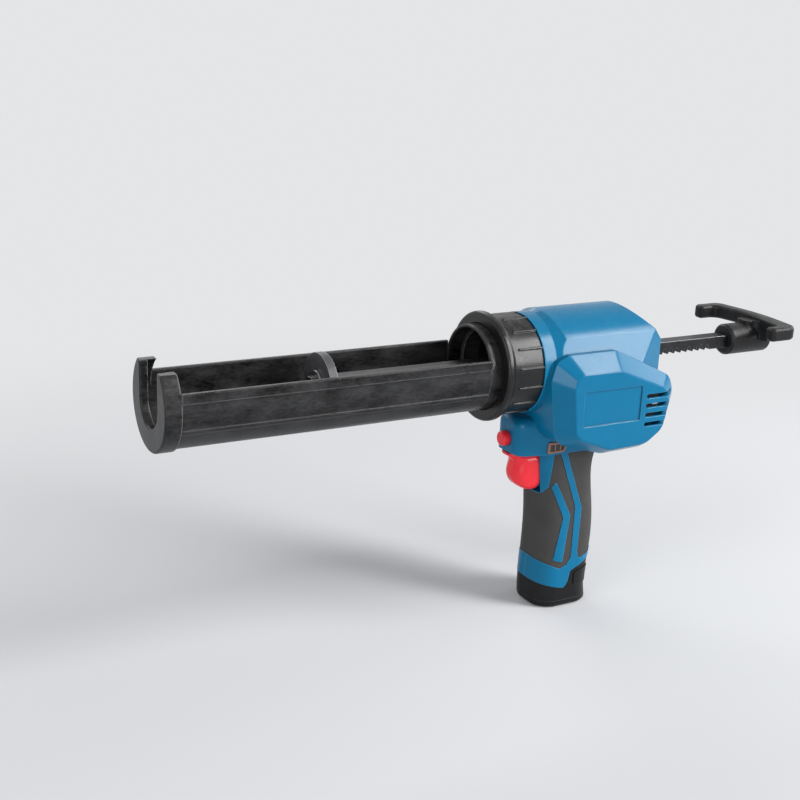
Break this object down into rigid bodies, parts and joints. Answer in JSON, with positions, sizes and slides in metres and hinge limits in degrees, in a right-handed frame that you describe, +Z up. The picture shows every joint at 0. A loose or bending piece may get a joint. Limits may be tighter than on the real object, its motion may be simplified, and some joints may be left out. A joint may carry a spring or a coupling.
{
  "type": "cordless caulking tool",
  "caption": "Pistol-grip battery caulking tool with a half-open swivelling cartridge carrier, toothed push rod with piston, lock ring, trigger and slide-out battery foot.",
  "frame": {"origin": "middle of the flat underside of the battery foot", "axes": "+X towards the pull handle, so the nozzle end is -X; +Y to the user's right; +Z up"},
  "size_m": [0.4615, 0.092, 0.2095],
  "materials": {
    "blue_shell": "moulded satin blue",
    "black_plastic": "moulded fine-grained black",
    "grip_rubber": "soft overmould",
    "red_plastic": "moulded red",
    "nylon": "natural nylon",
    "black_steel": "black oxide",
    "bright_steel": "ground",
    "gear_steel": "hobbed",
    "cast_alloy": "die cast",
    "bronze": "sintered",
    "smoked_lens": "smoked clear plastic",
    "circuit_board": "solder mask",
    "cell_wrap": "shrink-wrapped cell"
  },
  "bodies": {
    "housing": {"left_housing": "blue_shell", "right_housing": "blue_shell", "housing_screws": "black_steel", "left_grip_pad": "grip_rubber", "right_grip_pad": "grip_rubber", "gauge_bezel": "black_plastic", "gauge_lens": "smoked_lens", "gauge_board": "circuit_board", "barrel_adaptor": "cast_alloy", "front_rod_bush": "nylon", "rear_rod_bush": "nylon", "gear_frame": "cast_alloy", "frame_screws": "bright_steel", "left_shaft_bush": "bronze", "right_shaft_bush": "bronze", "rod_backing_pad": "nylon", "gearbox_case": "bright_steel", "motor_can": "bright_steel", "motor_end_cap": "black_plastic", "motor_terminals": "bronze", "switch_body": "black_plastic", "control_board": "circuit_board", "contact_block": "black_plastic", "contact_blades": "bronze"},
    "lock_ring": {"lock_ring": "black_plastic"},
    "carrier": {"cartridge_carrier": "black_plastic"},
    "rod": {"rack_rod": "black_steel", "piston_plate": "black_steel", "piston_washer": "bright_steel", "piston_bolt": "black_steel", "pull_handle": "black_plastic", "handle_pin": "bright_steel"},
    "cross_shaft": {"cross_shaft": "bright_steel", "rack_pinion": "gear_steel", "final_gear": "gear_steel", "shaft_clips": "bright_steel"},
    "output_shaft": {"output_shaft": "bright_steel", "drive_gear": "gear_steel"},
    "trigger": {"trigger": "red_plastic", "trigger_plunger": "nylon"},
    "lock_button": {"lock_button": "red_plastic"},
    "battery": {"battery_case": "black_plastic", "battery_base": "black_plastic", "battery_cells": "cell_wrap", "cell_holder": "black_plastic"},
    "left_latch": {"left_latch": "black_plastic"},
    "right_latch": {"right_latch": "black_plastic"}
  },
  "joints": [
    {"name": "rod_slide", "type": "slide", "parent": "housing", "child": "rod", "axis": [1, 0, 0], "range_m": [-0.068, 0.124]},
    {"name": "pinion_turn", "type": "hinge", "parent": "housing", "child": "cross_shaft", "pos_m": [0, 0, 0.16065], "axis": [0, 1, 0], "range_deg": [-380, 690]},
    {"name": "drive_turn", "type": "hinge", "parent": "housing", "child": "output_shaft", "pos_m": [0.033, 0, 0.14899], "axis": [0, 1, 0], "range_deg": [-1600, 900]},
    {"name": "lock_ring_turn", "type": "hinge", "parent": "housing", "child": "lock_ring", "pos_m": [-0.0575, 0, 0.174], "axis": [1, 0, 0], "range_deg": [0, 360]},
    {"name": "carrier_swivel", "type": "hinge", "parent": "housing", "child": "carrier", "pos_m": [-0.18, 0, 0.174], "axis": [1, 0, 0], "continuous": true},
    {"name": "trigger_pull", "type": "slide", "parent": "housing", "child": "trigger", "axis": [1, 0, 0], "range_m": [0, 0.006], "stiffness_N_per_m": 700, "springref_m": -0.003},
    {"name": "lock_button_push", "type": "slide", "parent": "housing", "child": "lock_button", "axis": [1, 0, 0], "range_m": [0, 0.003], "stiffness_N_per_m": 500, "springref_m": -0.002},
    {"name": "battery_slide", "type": "slide", "parent": "housing", "child": "battery", "axis": [0, 0, -1], "range_m": [0, 0.09]},
    {"name": "left_latch_press", "type": "slide", "parent": "battery", "child": "left_latch", "axis": [0, 1, 0], "range_m": [0, 0.002], "stiffness_N_per_m": 800, "springref_m": -0.001},
    {"name": "right_latch_press", "type": "slide", "parent": "battery", "child": "right_latch", "axis": [0, -1, 0], "range_m": [0, 0.002], "stiffness_N_per_m": 800, "springref_m": -0.001}
  ],
  "couplings": [
    {"joint": "pinion_turn", "follows": "rod_slide", "rad_per_m": 95.238},
    {"joint": "drive_turn", "follows": "rod_slide", "rad_per_m": -222.22}
  ]
}
